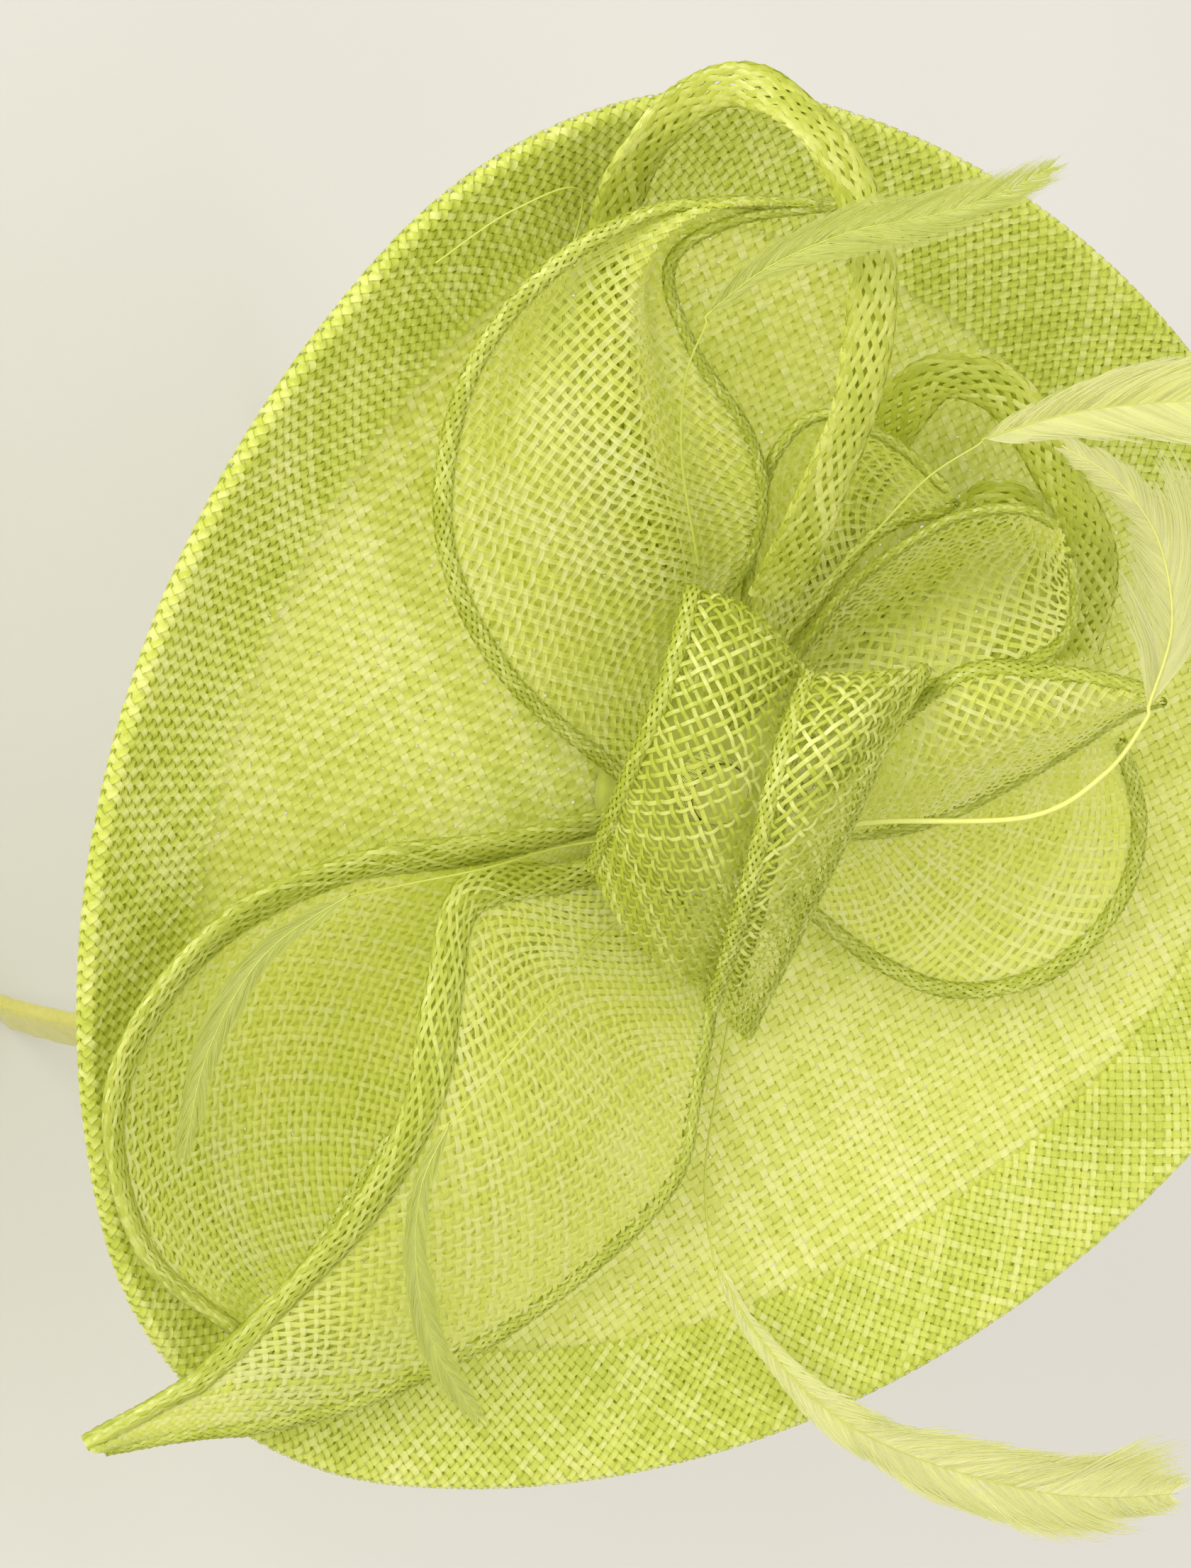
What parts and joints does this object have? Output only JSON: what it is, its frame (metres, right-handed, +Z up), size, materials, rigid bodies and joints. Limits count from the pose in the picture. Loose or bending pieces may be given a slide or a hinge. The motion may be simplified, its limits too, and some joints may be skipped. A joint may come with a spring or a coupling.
{
  "type": "fascinator headpiece",
  "caption": "Woven straw saucer fascinator with a looped petal flower, feathers and a sprung fabric-covered headband worn tilted to one side.",
  "frame": {"origin": "centre of the headband crown's inner arc, where the middle of the head lies", "axes": "+Z up as worn, +Y along the width of the headband towards the back of the head, +X towards the side the disc leans to"},
  "size_m": [0.2072, 0.2264, 0.2237],
  "materials": {
    "binding_straw": "glossy woven straw on the bias, two layers",
    "disc_straw": "glossy woven straw, close weave",
    "feather": "soft stripped feather, slightly translucent",
    "felt": "stiff felt",
    "headband_fabric": "matt satin sleeve",
    "knot_straw": "glossy woven straw, most open weave",
    "loop_straw": "narrow straw tubing, close weave",
    "petal_straw": "glossy woven straw, open weave",
    "post_plastic": "plain",
    "rim_wire": "millinery wire, hidden in the binding",
    "spring_core": "cold-rolled spring strip, hidden in the sleeve",
    "thread": "sewing thread"
  },
  "bodies": {
    "crown_and_disc": {"backing_pad": "felt", "edge_binding": "binding_straw", "feather_bare_quill": "feather", "feather_curl_quill": "feather", "feather_curl_vane": "feather", "feather_left_quill": "feather", "feather_left_vane": "feather", "feather_low_right_quill": "feather", "feather_low_right_vane": "feather", "feather_lower_centre_quill": "feather", "feather_lower_centre_vane": "feather", "feather_right_quill": "feather", "feather_right_vane": "feather", "feather_top_quill": "feather", "feather_top_vane": "feather", "flower_base": "felt", "gather_post": "post_plastic", "gather_wrap": "thread", "headband_crown_core": "spring_core", "headband_crown_sleeve": "headband_fabric", "knot_lower_fold": "knot_straw", "knot_upper_fold": "knot_straw", "narrow_loop_inner": "loop_straw", "narrow_loop_outer": "loop_straw", "narrow_loop_tall": "loop_straw", "pad_stitches": "thread", "petal_lower_centre": "petal_straw", "petal_lower_left": "petal_straw", "petal_right_lower": "petal_straw", "petal_right_upper": "petal_straw", "petal_upper_centre": "petal_straw", "petal_upper_left": "petal_straw", "petal_upper_right": "petal_straw", "rim_wire": "rim_wire", "saucer_lower_layer": "disc_straw", "saucer_upper_layer": "disc_straw"},
    "right_arm": {"headband_right_arm_core": "spring_core", "headband_right_arm_sleeve": "headband_fabric"},
    "left_arm": {"headband_left_arm_core": "spring_core", "headband_left_arm_sleeve": "headband_fabric"}
  },
  "joints": [
    {"name": "right_arm_flex", "type": "hinge", "parent": "crown_and_disc", "child": "right_arm", "pos_m": [0.06353, 0, 0.02064], "axis": [0, -1, 0], "range_deg": [0, 12], "stiffness_Nm_per_rad": 0.8},
    {"name": "left_arm_flex", "type": "hinge", "parent": "crown_and_disc", "child": "left_arm", "pos_m": [-0.06353, 0, 0.02064], "axis": [0, 1, 0], "range_deg": [0, 12], "stiffness_Nm_per_rad": 0.8}
  ]
}
